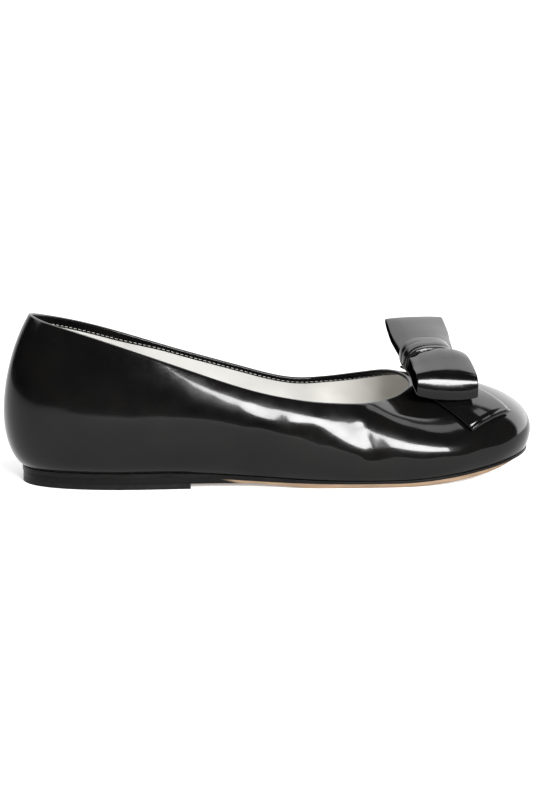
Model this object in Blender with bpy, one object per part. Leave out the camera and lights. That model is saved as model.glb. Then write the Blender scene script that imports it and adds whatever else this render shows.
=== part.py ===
"""A right ballet flat in polished leather, with a stuffed ribbon bow on its vamp.

The shoe is built as its maker builds it: a lasted upper, an insole, a thin midsole, a leather outsole,
a low rubber heel, and a bow of two loops, a pleated knot and two tails. Lengths are in metres. While it
is modelled, X runs from the back of the heel to the toe, Y from the outer (lateral) side, which is
negative, to the inner (medial) side, and Z up from the floor. A last step centres it over the origin.
"""

import math
from collections import namedtuple

import bmesh
import bpy
import numpy as np
from mathutils import Vector
from mathutils.bvhtree import BVHTree

# Sizes of the shoe
LENGTH = 0.246  # back of the heel curve to the tip of the toe
BALL_WIDTH = 0.075  # across the seam between upper and sole, at the ball
COLLAR_WIDTH = 0.0645  # across the opening where it is widest
BACK_HEIGHT = 0.0773  # floor to the top of the heel curve
THROAT_HEIGHT = 0.0425  # floor to the front of the opening
VAMP_LENGTH = 0.0595  # front of the opening to the tip of the toe
COLLAR_BACK = 0.0128  # how far the top of the heel curve leans in over the heel
UPPER_WALL = 0.0018  # leather, stiffener and lining together

# Sizes of the sole
SEAT_HEIGHT = 0.0075  # floor to the seam under the heel
SOLE_STACK = 0.0032  # floor to the seam under the ball
TOE_SPRING = 0.0095  # how far the toe stands off the floor
TOE_CURVE = 1.7  # power of that rise: 1 would be a straight ramp
WAIST_GAP = 0.0024  # how far the outsole stands off the floor under the arch and at the heel
MIDSOLE_FORE = 0.0009
MIDSOLE_BACK = 0.0017
OUTSOLE_TOE = 0.0009  # the outsole is skived thin under the tip of the toe
TOE_INSET = 0.0030  # and its edge is drawn in there
EDGE_OUTSET = 0.0003  # the midsole stands this far outside the seam
SOFT_ROUND = 0.3  # share of its thickness over which the edge of the midsole or the insole is rounded
OUTSOLE_ROUND = 0.2
HEEL_ROUND = 0.3
INSOLE_THICKNESS = 0.0020
HEEL_FLARE = 0.0007  # the heel is this much wider at the floor
HEEL_EDGE = 0.0006  # rounding of the heel's lower edge
CLEARANCE = 0.0003  # left between pieces that meet

# Places along the shoe, as shares of its length from the back of the heel
SEAT_FRONT = 0.28
SEAT_END = 0.66
TREAD_BACK = 0.575
TREAD_FRONT = 0.715
WAIST_BACK = 0.44
HEEL_BREAST = 0.338
SKIVE_BACK = 0.86

# Sizes of the bow, which is seated on the vamp
BOW_FROM_TOE = 0.0497  # middle of the knot to the tip of the toe
BOW_ASIDE = -0.0005
BOW_YAW = math.radians(7.5)
BOW_ROLL = math.radians(7.5)  # its inner end is turned up, besides the tilt that the vamp gives it
LOOP_REACH = 0.0310  # middle of the knot to the fold of a loop
LOOP_HEIGHT = 0.0200  # vamp to the upper face of a loop
LOOP_WIDTH = 0.0280  # across the ribbon at the fold
LOOP_WAIST = 0.0254  # across the ribbon where the knot gathers it
GATHER_START = 0.20  # share of the reach where the ribbon starts to spread
GATHER_END = 0.65
RIBBON_WALL = 0.0013
KNOT_WIDTH = 0.0130  # along the bow
KNOT_LENGTH = 0.0240  # across the ribbon
KNOT_DEPTH = 0.0162
KNOT_SET_BACK = 0.0018  # from the middle of the ribbon towards the opening
KNOT_END_POWER = 0.72  # rounding of the knot's ends: 1 is an ellipse and 0 a rectangle
KNOT_FACE_POWER = 0.80
PLEAT_SHARE = 0.6  # how much of a pleat's girth also draws the knot's ends in
TAIL_THICKNESS = 0.0030
TAIL_CLEARANCE = 0.0004
TAIL_LENGTH = 0.0400  # middle of the knot to the far corner of a tail

# Fineness of the solids
RIB_COUNT = 72
RIB_STEPS = 11
LOOP_STEPS = 28
LOOP_ROWS = (-1.0, -0.85, -0.45, 0.0, 0.45, 0.85, 1.0)  # across the ribbon, from its heel edge
TAIL_STEPS = (9, 8)
DRAPE_STEPS = 24
SECTION_SPACING = 0.0012  # least distance between two sections of a sole piece

# Ribs run up the upper, from its seam with the sole to the edge of the opening. There is a row for each, from
# the tip of the toe along the outer side to the heel, and back along the inner side.
#   seam_x    share of LENGTH from the back of the heel
#   seam_y    share of BALL_WIDTH from the middle line
#   flare     degrees that the wall leans out at the seam
#   belly     how far it keeps that lean, as a share of the rib's height and reach
#   top_x     share of the opening's length from its back
#   top_y     share of COLLAR_WIDTH from the middle line
#   top_rise  share of the way from THROAT_HEIGHT to BACK_HEIGHT
#   lean      degrees from upright at the edge of the opening
#   shoulder  how far it keeps that lean, as a share of the rib's height and reach
Rib = namedtuple("Rib", "seam_x seam_y flare belly top_x top_y top_rise lean shoulder")
RIBS = [
    Rib(0.992, 0.047, 22, 0.27, 1.000, -0.005, 0.000, 88, 0.79),
    Rib(0.978, -0.166, 24, 0.28, 0.994, -0.093, -0.035, 86, 0.76),
    Rib(0.938, -0.323, 27, 0.25, 0.977, -0.183, -0.068, 78, 0.63),
    Rib(0.871, -0.432, 30, 0.26, 0.945, -0.291, -0.105, 65, 0.52),
    Rib(0.782, -0.494, 35, 0.24, 0.892, -0.407, -0.125, 50, 0.40),
    Rib(0.677, -0.490, 36, 0.23, 0.818, -0.475, -0.123, 30, 0.31),
    Rib(0.564, -0.460, 37, 0.32, 0.704, -0.517, -0.059, 29, 0.34),
    Rib(0.450, -0.413, 36, 0.34, 0.565, -0.503, 0.090, 21, 0.35),
    Rib(0.336, -0.377, 37, 0.35, 0.405, -0.464, 0.357, 10, 0.36),
    Rib(0.224, -0.362, 41, 0.33, 0.250, -0.417, 0.630, 13, 0.40),
    Rib(0.128, -0.303, 43, 0.28, 0.125, -0.335, 0.830, 20, 0.38),
    Rib(0.060, -0.182, 48, 0.27, 0.033, -0.191, 0.955, 27, 0.37),
    Rib(0.035, 0.000, 50, 0.26, 0.000, 0.000, 1.000, 31, 0.37),
    Rib(0.059, 0.178, 48, 0.27, 0.033, 0.183, 0.940, 27, 0.37),
    Rib(0.126, 0.290, 43, 0.28, 0.125, 0.321, 0.810, 20, 0.38),
    Rib(0.224, 0.338, 39, 0.30, 0.250, 0.403, 0.612, 15, 0.38),
    Rib(0.336, 0.332, 38, 0.33, 0.405, 0.448, 0.352, 12, 0.36),
    Rib(0.450, 0.325, 38, 0.35, 0.560, 0.482, 0.115, 14, 0.36),
    Rib(0.564, 0.370, 38, 0.36, 0.704, 0.488, -0.070, 21, 0.36),
    Rib(0.677, 0.450, 36, 0.35, 0.818, 0.464, -0.060, 31, 0.38),
    Rib(0.778, 0.490, 31, 0.32, 0.892, 0.397, 0.005, 47, 0.43),
    Rib(0.868, 0.472, 26, 0.31, 0.948, 0.299, 0.062, 66, 0.55),
    Rib(0.938, 0.377, 23, 0.30, 0.980, 0.190, 0.072, 80, 0.66),
    Rib(0.981, 0.226, 22, 0.28, 0.996, 0.093, 0.042, 86, 0.76),
]

# The outer face of each loop, round from the lower side of the knot to the fold and back over the top. A row
# gives it at the ribbon's heel edge, along its middle and at its toe edge, as shares of LOOP_REACH from the
# middle of the knot and of LOOP_HEIGHT over the vamp.
LoopPoint = namedtuple("LoopPoint", "heel_reach heel_rise mid_reach mid_rise toe_reach toe_rise")
OUTER_LOOP = [
    LoopPoint(0.245, 0.430, 0.245, 0.380, 0.245, 0.410),
    LoopPoint(0.390, 0.375, 0.425, 0.270, 0.445, 0.330),
    LoopPoint(0.590, 0.325, 0.660, 0.205, 0.700, 0.280),
    LoopPoint(0.805, 0.270, 0.870, 0.185, 0.930, 0.260),
    LoopPoint(0.868, 0.300, 0.919, 0.245, 0.985, 0.315),
    LoopPoint(0.850, 0.400, 0.894, 0.400, 0.975, 0.400),
    LoopPoint(0.825, 0.480, 0.861, 0.488, 0.950, 0.485),
    LoopPoint(0.800, 0.565, 0.826, 0.578, 0.922, 0.575),
    LoopPoint(0.765, 0.660, 0.781, 0.670, 0.893, 0.665),
    LoopPoint(0.690, 0.775, 0.690, 0.780, 0.825, 0.775),
    LoopPoint(0.515, 0.745, 0.532, 0.860, 0.660, 0.845),
    LoopPoint(0.310, 0.670, 0.300, 0.930, 0.330, 0.830),
    LoopPoint(0.240, 0.575, 0.240, 0.650, 0.240, 0.590),
]
INNER_LOOP = [
    LoopPoint(0.245, 0.410, 0.245, 0.390, 0.245, 0.410),
    LoopPoint(0.410, 0.465, 0.420, 0.395, 0.420, 0.430),
    LoopPoint(0.600, 0.545, 0.630, 0.460, 0.615, 0.510),
    LoopPoint(0.800, 0.650, 0.840, 0.570, 0.820, 0.620),
    LoopPoint(0.930, 0.745, 0.970, 0.690, 0.950, 0.730),
    LoopPoint(0.985, 0.855, 1.000, 0.845, 0.985, 0.880),
    LoopPoint(0.920, 0.940, 0.920, 0.965, 0.930, 0.965),
    LoopPoint(0.680, 0.835, 0.680, 0.950, 0.695, 0.890),
    LoopPoint(0.460, 0.730, 0.460, 0.920, 0.485, 0.800),
    LoopPoint(0.290, 0.655, 0.290, 0.840, 0.305, 0.690),
    LoopPoint(0.240, 0.540, 0.240, 0.610, 0.240, 0.545),
]

# Pleats of the knot, from its outer to its inner end: share of half of KNOT_WIDTH, share of full girth
Pleat = namedtuple("Pleat", "along girth")
PLEATS = [
    Pleat(-1.00, 0.80),
    Pleat(-0.93, 0.92),
    Pleat(-0.75, 1.00),
    Pleat(-0.52, 0.92),
    Pleat(-0.10, 1.03),
    Pleat(0.32, 0.92),
    Pleat(0.66, 1.00),
    Pleat(0.93, 0.92),
    Pleat(1.00, 0.80),
]

# Corners of a tail, as shares of TAIL_LENGTH over the vamp from the middle of the knot: towards the toe, and
# outwards. A tail has a toe edge and a heel edge.
TailCorner = namedtuple("TailCorner", "forward outward")
TAIL_ROOT = (TailCorner(0.225, 0.010), TailCorner(-0.2125, 0.400))
TAIL_END = (TailCorner(0.815, 0.680), TailCorner(0.250, 0.985))

# Colour, roughness, metallic
BLACK_LEATHER = ("black_leather", (0.012, 0.012, 0.013), 0.14, 0.0)
BLACK_EDGE = ("black_edge", (0.015, 0.014, 0.013), 0.40, 0.0)
BLACK_RUBBER = ("black_rubber", (0.020, 0.020, 0.020), 0.50, 0.0)
TAN_LEATHER = ("tan_leather", (0.48, 0.27, 0.15), 0.55, 0.0)
IVORY_LINING = ("ivory_lining", (0.78, 0.77, 0.72), 0.50, 0.0)


def smooth_step(t):
    """0 up to t = 0, 1 from t = 1, and a smooth rise between."""
    t = min(max(t, 0.0), 1.0)
    return t * t * (3.0 - 2.0 * t)


def round_spline(values, count):
    """count values, evenly spaced on the smooth closed curve through the given ones."""
    y = np.array(values, float)
    n = len(y)
    system = 4.0 * np.eye(n) + np.roll(np.eye(n), 1, axis=1) + np.roll(np.eye(n), -1, axis=1)
    bend = np.linalg.solve(system, 6.0 * (np.roll(y, 1) - 2.0 * y + np.roll(y, -1)))
    made = []
    for k in range(count):
        i, t = divmod(k * n / count, 1.0)
        i, j = int(i), (int(i) + 1) % n
        s = 1.0 - t
        made.append(s * y[i] + t * y[j] + (s**3 - s) * bend[i] / 6.0 + (t**3 - t) * bend[j] / 6.0)
    return made


def outward_normals(points):
    """Level directions that point out of a closed line which runs from toe to outer side to heel."""
    made = []
    for k, point in enumerate(points):
        along = points[(k + 1) % len(points)] - points[k - 1]
        made.append(Vector((-along.y, along.x, 0.0)).normalized())
    return made


def toe_rise(x):
    """How far toe spring lifts the sole at x."""
    share = (x / LENGTH - TREAD_FRONT) / (1.0 - TREAD_FRONT)
    return TOE_SPRING * max(share, 0.0) ** TOE_CURVE


def seam_height(x):
    """Floor to the seam between upper and sole."""
    seat = smooth_step((SEAT_END - x / LENGTH) / (SEAT_END - SEAT_FRONT))
    return SOLE_STACK + (SEAT_HEIGHT - SOLE_STACK) * seat + toe_rise(x)


def tread_height(x):
    """Floor to the underside of the outsole: flat under the ball, lifted under the arch and at the toe."""
    waist = smooth_step((TREAD_BACK - x / LENGTH) / (TREAD_BACK - WAIST_BACK))
    return WAIST_GAP * waist + toe_rise(x)


def midsole_under(x):
    """Height of the midsole's underside."""
    back = smooth_step((SEAT_END - x / LENGTH) / (SEAT_END - WAIST_BACK))
    return seam_height(x) - CLEARANCE - MIDSOLE_FORE - (MIDSOLE_BACK - MIDSOLE_FORE) * back


def upper_curves():
    """The seam and the edge of the opening, with the ribs' leans, at RIB_COUNT places round the shoe."""
    column = {name: round_spline([getattr(rib, name) for rib in RIBS], RIB_COUNT) for name in Rib._fields}
    opening = LENGTH - VAMP_LENGTH - COLLAR_BACK
    seam, top = [], []
    for k in range(RIB_COUNT):
        x = column["seam_x"][k] * LENGTH
        seam.append(Vector((x, column["seam_y"][k] * BALL_WIDTH, seam_height(x))))
        x = COLLAR_BACK + column["top_x"][k] * opening
        rise = THROAT_HEIGHT + (BACK_HEIGHT - THROAT_HEIGHT) * column["top_rise"][k]
        top.append(Vector((x, column["top_y"][k] * COLLAR_WIDTH, rise)))
    return seam, top, column


def rib_rows(seam, top, column):
    """Rings of points on the upper's outer face, from its seam up to its edge."""
    out_seam, out_top = outward_normals(seam), outward_normals(top)
    rows = []
    for step in range(RIB_STEPS + 1):
        t = step / RIB_STEPS
        s = 1.0 - t
        row = []
        for k in range(RIB_COUNT):
            flare, lean = math.radians(column["flare"][k]), math.radians(column["lean"][k])
            span = (top[k] - seam[k]).length
            low = out_seam[k] * math.sin(flare) + Vector((0, 0, math.cos(flare)))
            high = out_top[k] * math.sin(lean) - Vector((0, 0, math.cos(lean)))
            low = seam[k] + low * (column["belly"][k] * span)
            high = top[k] + high * (column["shoulder"][k] * span)
            row.append(seam[k] * s**3 + low * (3 * s * s * t) + high * (3 * s * t * t) + top[k] * t**3)
        rows.append(row)
    return rows


def loft(rows, closed=True):
    """A bmesh of quads through rows of points: each row is extruded to the next."""
    bm = bmesh.new()
    place = bm.verts.layers.int.new("place")
    verts = [bm.verts.new(point) for point in rows[0]]
    for k, vert in enumerate(verts):
        vert[place] = k
    last = len(verts) if closed else len(verts) - 1
    edges = [bm.edges.new((verts[k], verts[(k + 1) % len(verts)])) for k in range(last)]
    for row in rows[1:]:
        made = bmesh.ops.extrude_edge_only(bm, edges=edges)["geom"]
        fresh = {item for item in made if isinstance(item, bmesh.types.BMVert)}
        for vert in fresh:
            vert.co = row[vert[place]]
        edges = [e for e in made if isinstance(e, bmesh.types.BMEdge) and fresh.issuperset(e.verts)]
    return bm


def close_ends(bm):
    """Merges ends that are drawn to a point and fills open ends, then turns all faces out."""
    bmesh.ops.remove_doubles(bm, verts=bm.verts, dist=1e-6)
    bmesh.ops.dissolve_degenerate(bm, edges=bm.edges, dist=1e-6)
    bmesh.ops.holes_fill(bm, edges=bm.edges, sides=0)
    bmesh.ops.recalc_face_normals(bm, faces=bm.faces)


def material(look):
    """The Principled material of a finish, made once."""
    name, colour, roughness, metallic = look
    made = bpy.data.materials.get(name)
    if made is None:
        made = bpy.data.materials.new(name)
        made.use_nodes = True
        shader = made.node_tree.nodes["Principled BSDF"]
        shader.inputs["Base Color"].default_value = (*colour, 1.0)
        shader.inputs["Roughness"].default_value = roughness
        shader.inputs["Metallic"].default_value = metallic
    return made


def add_object(name, bm, look, sharp=math.radians(40)):
    """A smooth-shaded object of this bmesh."""
    mesh = bpy.data.meshes.new(name)
    bm.to_mesh(mesh)
    bm.free()
    mesh.materials.append(material(look))
    mesh.shade_smooth()
    mesh.set_sharp_from_angle(angle=sharp)
    obj = bpy.data.objects.new(name, mesh)
    bpy.context.scene.collection.objects.link(obj)
    return obj


def add_wall(obj, thickness, offset):
    """Gives an open sheet its thickness: offset -1 grows it inwards and 1 outwards."""
    wall = obj.modifiers.new("wall", "SOLIDIFY")
    wall.thickness = thickness
    wall.offset = offset
    wall.use_even_offset = True
    wall.use_quality_normals = True


def make_upper(rows):
    """The lasted upper, one hollow wall that is open at the collar and underneath."""
    bm = loft(rows)
    bmesh.ops.recalc_face_normals(bm, faces=bm.faces)
    bm.faces.ensure_lookup_table()
    toe_face = max(bm.faces, key=lambda face: face.calc_center_median().x)
    if toe_face.normal.x < 0:
        bmesh.ops.reverse_faces(bm, faces=bm.faces)
    outside = BVHTree.FromBMesh(bm)
    upper = add_object("upper", bm, BLACK_LEATHER, sharp=math.radians(60))
    add_wall(upper, UPPER_WALL, offset=-1.0)
    return outside


def slab_section(seam, out, k, edge, top_of, under_of):
    """One section across a sole piece: down its outer side and up its inner side.

    edge lists (share of the way down, outset) pairs, and outset may be a function of x.
    """
    section = []
    for rib, levels in ((k, edge), (-k % RIB_COUNT, reversed(edge))):
        x = seam[rib].x
        for down, outset in levels:
            outset = outset(x) if callable(outset) else outset
            point = seam[rib] + out[rib] * outset
            point.z = top_of(point.x) + (under_of(point.x) - top_of(point.x)) * down
            section.append(point)
    return section


def moved_to(section, x, seam_line):
    """A section slid along the shoe to x, on the sole's own outline there."""
    half = len(section) // 2
    made = []
    for i, point in enumerate(section):
        side = seam_line[0] if i < half else seam_line[1]
        y = float(np.interp(x, side[0], side[1]))
        y_here = float(np.interp(point.x, side[0], side[1]))
        made.append(Vector((x, point.y + y - y_here, point.z)))
    return made


def make_slab(name, seam, look, edge, top_of, under_of, span=(0.0, 1.0), stops=()):
    """A sole piece between two heights, over span of the shoe's length.

    stops are further shares of the length where it needs a section of its own.
    """
    out = outward_normals(seam)
    half = RIB_COUNT // 2
    sides = ([seam[k] for k in range(half, -1, -1)], [seam[k] for k in range(-half, 1)])
    lines = [([p.x for p in side], [p.y for p in side]) for side in sides]
    low, high = span[0] * LENGTH, span[1] * LENGTH
    places = [(seam[k].x, k) for k in range(half + 1) if low < seam[k].x < high]
    cuts = [share * LENGTH for share in (*span, *stops) if 0.0 < share < 1.0]
    rows = []
    for x, k in places:
        rows.append((x, slab_section(seam, out, k, edge, top_of, under_of)))
    for x in cuts:
        k = min(range(half + 1), key=lambda i: abs(seam[i].x - x))
        section = moved_to(slab_section(seam, out, k, edge, top_of, under_of), x, lines)
        levels = [down for down, _ in edge]
        for point, down in zip(section, [*levels, *reversed(levels)]):
            point.z = top_of(x) + (under_of(x) - top_of(x)) * down
        rows = [row for row in rows if abs(row[0] - x) > SECTION_SPACING]
        rows.append((x, section))
    rows.sort(key=lambda row: row[0])
    bm = loft([section for _, section in rows])
    close_ends(bm)
    add_object(name, bm, look)


def make_midsole(seam):
    """The black layer that shows as a thin line between the upper and the tan outsole."""
    edge = [
        (0.0, -EDGE_OUTSET),
        (SOFT_ROUND, EDGE_OUTSET),
        (1.0 - SOFT_ROUND, EDGE_OUTSET),
        (1.0, -EDGE_OUTSET),
    ]

    def top_of(x):
        return seam_height(x) - CLEARANCE

    make_slab("midsole", seam, BLACK_EDGE, edge, top_of, midsole_under)


def toe_inset(x):
    """How far the outsole's edge is drawn in under the toe."""
    return -TOE_INSET * smooth_step((x / LENGTH - SKIVE_BACK) / (1.0 - SKIVE_BACK))


def outsole_under(x):
    """Underside of the outsole, which is skived thin towards the tip of the toe."""
    skive = smooth_step((x / LENGTH - SKIVE_BACK) / (1.0 - SKIVE_BACK))
    thin = midsole_under(x) - CLEARANCE - OUTSOLE_TOE
    return tread_height(x) + (thin - tread_height(x)) * skive


def make_outsole(seam):
    """The tan leather outsole, from the back of the heel to the toe."""
    edge = [
        (0.0, lambda x: toe_inset(x) - EDGE_OUTSET),
        (OUTSOLE_ROUND, toe_inset),
        (1.0 - OUTSOLE_ROUND, toe_inset),
        (1.0, lambda x: toe_inset(x) - EDGE_OUTSET),
    ]
    stops = (WAIST_BACK, TREAD_BACK, TREAD_FRONT)

    def top_of(x):
        return midsole_under(x) - CLEARANCE

    make_slab("outsole", seam, TAN_LEATHER, edge, top_of, outsole_under, stops=stops)


def make_heel(seam):
    """The low black heel under the back of the outsole."""
    edge = [(0.0, 0.0), (1.0 - HEEL_ROUND, HEEL_FLARE), (1.0, HEEL_FLARE - HEEL_EDGE)]

    def top_of(x):
        return outsole_under(x) - CLEARANCE

    def under_of(x):
        return 0.0

    make_slab("heel", seam, BLACK_RUBBER, edge, top_of, under_of, span=(0.0, HEEL_BREAST))


def make_insole(seam):
    """The ivory insole, inside the upper's wall."""
    inset = UPPER_WALL + 2 * CLEARANCE
    edge = [(0.0, -inset - CLEARANCE), (SOFT_ROUND, -inset), (1.0, -inset)]

    def top_of(x):
        return seam_height(x) + INSOLE_THICKNESS

    make_slab("insole", seam, IVORY_LINING, edge, top_of, seam_height)


class BowSeat:
    """Where the bow sits on the vamp: its middle, and directions to the toe, to the inner side and up."""

    def __init__(self, outside):
        self.outside = outside
        above = Vector((LENGTH - BOW_FROM_TOE, BOW_ASIDE, 2 * BACK_HEIGHT))
        self.middle, self.normal, _, _ = outside.ray_cast(above, Vector((0, 0, -1)))
        forward = Vector((math.cos(BOW_YAW), math.sin(BOW_YAW), 0.0))
        self.forward = (forward - self.normal * forward.dot(self.normal)).normalized()
        self.level = self.normal.cross(self.forward)
        self.across = (self.level * math.cos(BOW_ROLL) + self.normal * math.sin(BOW_ROLL)).normalized()
        self.up = self.forward.cross(self.across)

    def place(self, forward, across, up):
        """A point of the bow, in the shoe's frame."""
        return self.middle + self.forward * forward + self.across * across + self.up * up

    def drape(self, forward, across, height):
        """The point at this height over the vamp, that far along it from under the knot."""
        point, normal = self.middle, self.normal
        heading = self.forward * forward + self.level * across
        stride = heading.length / DRAPE_STEPS
        for _ in range(DRAPE_STEPS):
            heading = (heading - normal * heading.dot(normal)).normalized()
            point, normal, _, _ = self.outside.find_nearest(point + heading * stride)
        return point + normal * height


def across_ribbon(share, heel, middle, toe):
    """A value at this share across the ribbon, on the parabola through those at its edges and its middle."""
    return middle + share * (toe - heel) / 2 + share * share * ((toe + heel) / 2 - middle)


def make_loop(seat, name, side, table):
    """One loop of ribbon, folded at its outer end and gathered at the knot. side is -1 for the outer one."""
    columns = [round_spline(column, LOOP_STEPS) for column in zip(*table)]
    points = [LoopPoint(*values) for values in zip(*columns)]
    rows = []
    for share in LOOP_ROWS:
        row = []
        for point in points:
            reach = across_ribbon(share, point.heel_reach, point.mid_reach, point.toe_reach)
            height = across_ribbon(share, point.heel_rise, point.mid_rise, point.toe_rise)
            gathered = 1.0 - smooth_step((reach - GATHER_START) / (GATHER_END - GATHER_START))
            forward = (LOOP_WIDTH + (LOOP_WAIST - LOOP_WIDTH) * gathered) / 2 * share
            row.append(seat.place(forward, side * reach * LOOP_REACH, height * LOOP_HEIGHT))
        rows.append(row)
    bm = loft(rows)
    bmesh.ops.recalc_face_normals(bm, faces=bm.faces)
    fold = max(bm.faces, key=lambda face: (face.calc_center_median() - seat.middle).length)
    inside = seat.place(0, side * LOOP_REACH / 2, LOOP_HEIGHT / 2)
    if fold.normal.dot(fold.calc_center_median() - inside) < 0:
        bmesh.ops.reverse_faces(bm, faces=bm.faces)
    loop = add_object(name, bm, BLACK_LEATHER)
    add_wall(loop, RIBBON_WALL, offset=-1.0)


def make_knot(seat):
    """The pleated band that gathers the ribbon."""
    low = TAIL_THICKNESS + TAIL_CLEARANCE + CLEARANCE
    rows = []
    for pleat in PLEATS:
        row = []
        reach = KNOT_LENGTH / 2 * (1.0 - PLEAT_SHARE + PLEAT_SHARE * pleat.girth)
        for k in range(LOOP_STEPS):
            turn = math.tau * k / LOOP_STEPS
            c, s = math.cos(turn), math.sin(turn)
            forward = math.copysign(abs(c) ** KNOT_END_POWER, c) * reach
            up = math.copysign(abs(s) ** KNOT_FACE_POWER, s) * KNOT_DEPTH / 2 * pleat.girth
            up = max(up, -KNOT_DEPTH / 2)
            across = pleat.along * KNOT_WIDTH / 2
            row.append(seat.place(forward - KNOT_SET_BACK, across, low + KNOT_DEPTH / 2 + up))
        rows.append(row)
    bm = loft(rows)
    close_ends(bm)
    add_object("bow_knot", bm, BLACK_LEATHER)


def make_tail(seat, name, side):
    """One tail of the ribbon, draped on the vamp from under the knot. side is -1 for the outer one."""
    rows = []
    for i in range(TAIL_STEPS[0] + 1):
        along = i / TAIL_STEPS[0]
        corners = zip(TAIL_ROOT, TAIL_END)
        toe_edge, heel_edge = (Vector(root).lerp(Vector(end), along) for root, end in corners)
        row = []
        for j in range(TAIL_STEPS[1] + 1):
            forward, outward = toe_edge.lerp(heel_edge, j / TAIL_STEPS[1]) * TAIL_LENGTH
            row.append(seat.drape(forward, side * outward, TAIL_CLEARANCE))
        rows.append(row)
    bm = loft(rows, closed=False)
    bmesh.ops.recalc_face_normals(bm, faces=bm.faces)
    if sum((face.normal for face in bm.faces), Vector()).dot(seat.up) < 0:
        bmesh.ops.reverse_faces(bm, faces=bm.faces)
    tail = add_object(name, bm, BLACK_LEATHER)
    add_wall(tail, TAIL_THICKNESS, offset=1.0)


def centre_over_origin(rows):
    """Parents every piece to an empty, so that the middle of the shoe's box on the floor is the origin."""
    points = [point for row in rows for point in row]
    middle = [(min(p[axis] for p in points) + max(p[axis] for p in points)) / 2 for axis in range(2)]
    shoe = bpy.data.objects.new("shoe", None)
    bpy.context.scene.collection.objects.link(shoe)
    for obj in bpy.context.scene.objects:
        if obj.type == "MESH":
            obj.parent = shoe
    shoe.location = (-middle[0], -middle[1], 0.0)


def main():
    for obj in list(bpy.data.objects):
        bpy.data.objects.remove(obj)
    seam, top, column = upper_curves()
    rows = rib_rows(seam, top, column)
    outside = make_upper(rows)
    make_insole(seam)
    make_midsole(seam)
    make_outsole(seam)
    make_heel(seam)
    seat = BowSeat(outside)
    for side, place, table in ((-1, "outer", OUTER_LOOP), (1, "inner", INNER_LOOP)):
        make_loop(seat, f"bow_loop_{place}", side, table)
        make_tail(seat, f"bow_tail_{place}", side)
    make_knot(seat)
    centre_over_origin(rows)


main()
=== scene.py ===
# %% [markdown]
# # A polished leather ballet flat
# The shoe is low and plain, so its looks rest on two things: the curve of the leather, which mirrors the
# studio, and a soft ribbon bow. We load the imported solids first, and the box of the imported upper places
# what is made here.

# %% Load the imported shoe
import math
from collections import namedtuple

import bmesh
import bpy
import numpy as np
from mathutils import Matrix, Vector
from mathutils.bvhtree import BVHTree


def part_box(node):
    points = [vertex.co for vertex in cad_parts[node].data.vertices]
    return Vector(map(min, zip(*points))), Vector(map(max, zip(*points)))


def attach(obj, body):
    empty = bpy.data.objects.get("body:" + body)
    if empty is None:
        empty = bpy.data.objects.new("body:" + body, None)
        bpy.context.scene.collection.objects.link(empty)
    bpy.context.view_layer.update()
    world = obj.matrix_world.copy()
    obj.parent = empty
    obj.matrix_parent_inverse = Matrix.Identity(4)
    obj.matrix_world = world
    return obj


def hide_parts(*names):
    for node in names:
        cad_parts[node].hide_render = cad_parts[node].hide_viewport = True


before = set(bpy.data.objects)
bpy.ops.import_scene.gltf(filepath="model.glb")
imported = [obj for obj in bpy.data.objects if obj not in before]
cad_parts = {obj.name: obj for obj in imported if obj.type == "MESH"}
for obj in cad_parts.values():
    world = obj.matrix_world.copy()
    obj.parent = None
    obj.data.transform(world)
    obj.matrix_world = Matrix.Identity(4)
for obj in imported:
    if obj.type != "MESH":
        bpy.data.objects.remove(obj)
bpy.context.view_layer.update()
print("packed nodes:", ", ".join(sorted(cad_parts)))

# %% [markdown]
# ## Sizes
# A shoemaker works from the last: its length, its width at the ball, the heights of the back and the throat.
# The seam where the upper meets the sole is one closed line, the edge of the opening is another, and ribs
# run from one to the other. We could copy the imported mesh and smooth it, but a smoothed mesh has no ribs to
# follow for a facing, a lining or a crease. So the ribs are made again here, four times as fine.

# %% Sizes of the shoe, in metres
MM = 0.001
LENGTH = 0.246
BALL_WIDTH = 0.075
COLLAR_WIDTH = 0.0645
BACK_HEIGHT = 0.0773
THROAT_HEIGHT = 0.0425
VAMP_LENGTH = 0.0595
COLLAR_BACK = 0.0128
UPPER_WALL = 1.8 * MM
SEAT_HEIGHT = 7.5 * MM
SOLE_STACK = 3.2 * MM
TOE_SPRING = 9.5 * MM
TOE_CURVE = 1.7
WAIST_GAP = 2.4 * MM
MIDSOLE_FORE = 0.9 * MM
MIDSOLE_BACK = 1.7 * MM
OUTSOLE_TOE = 0.9 * MM
TOE_INSET = 3.0 * MM
EDGE_OUTSET = 0.3 * MM
INSOLE_THICKNESS = 2.0 * MM
HEEL_FLARE = 0.7 * MM
HEEL_EDGE = 0.6 * MM
CLEARANCE = 0.3 * MM

# %% Places along the shoe, as shares of its length
SEAT_FRONT = 0.28
SEAT_END = 0.66
TREAD_BACK = 0.575
TREAD_FRONT = 0.715
WAIST_BACK = 0.44
HEEL_BREAST = 0.338
SKIVE_BACK = 0.86

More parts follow.
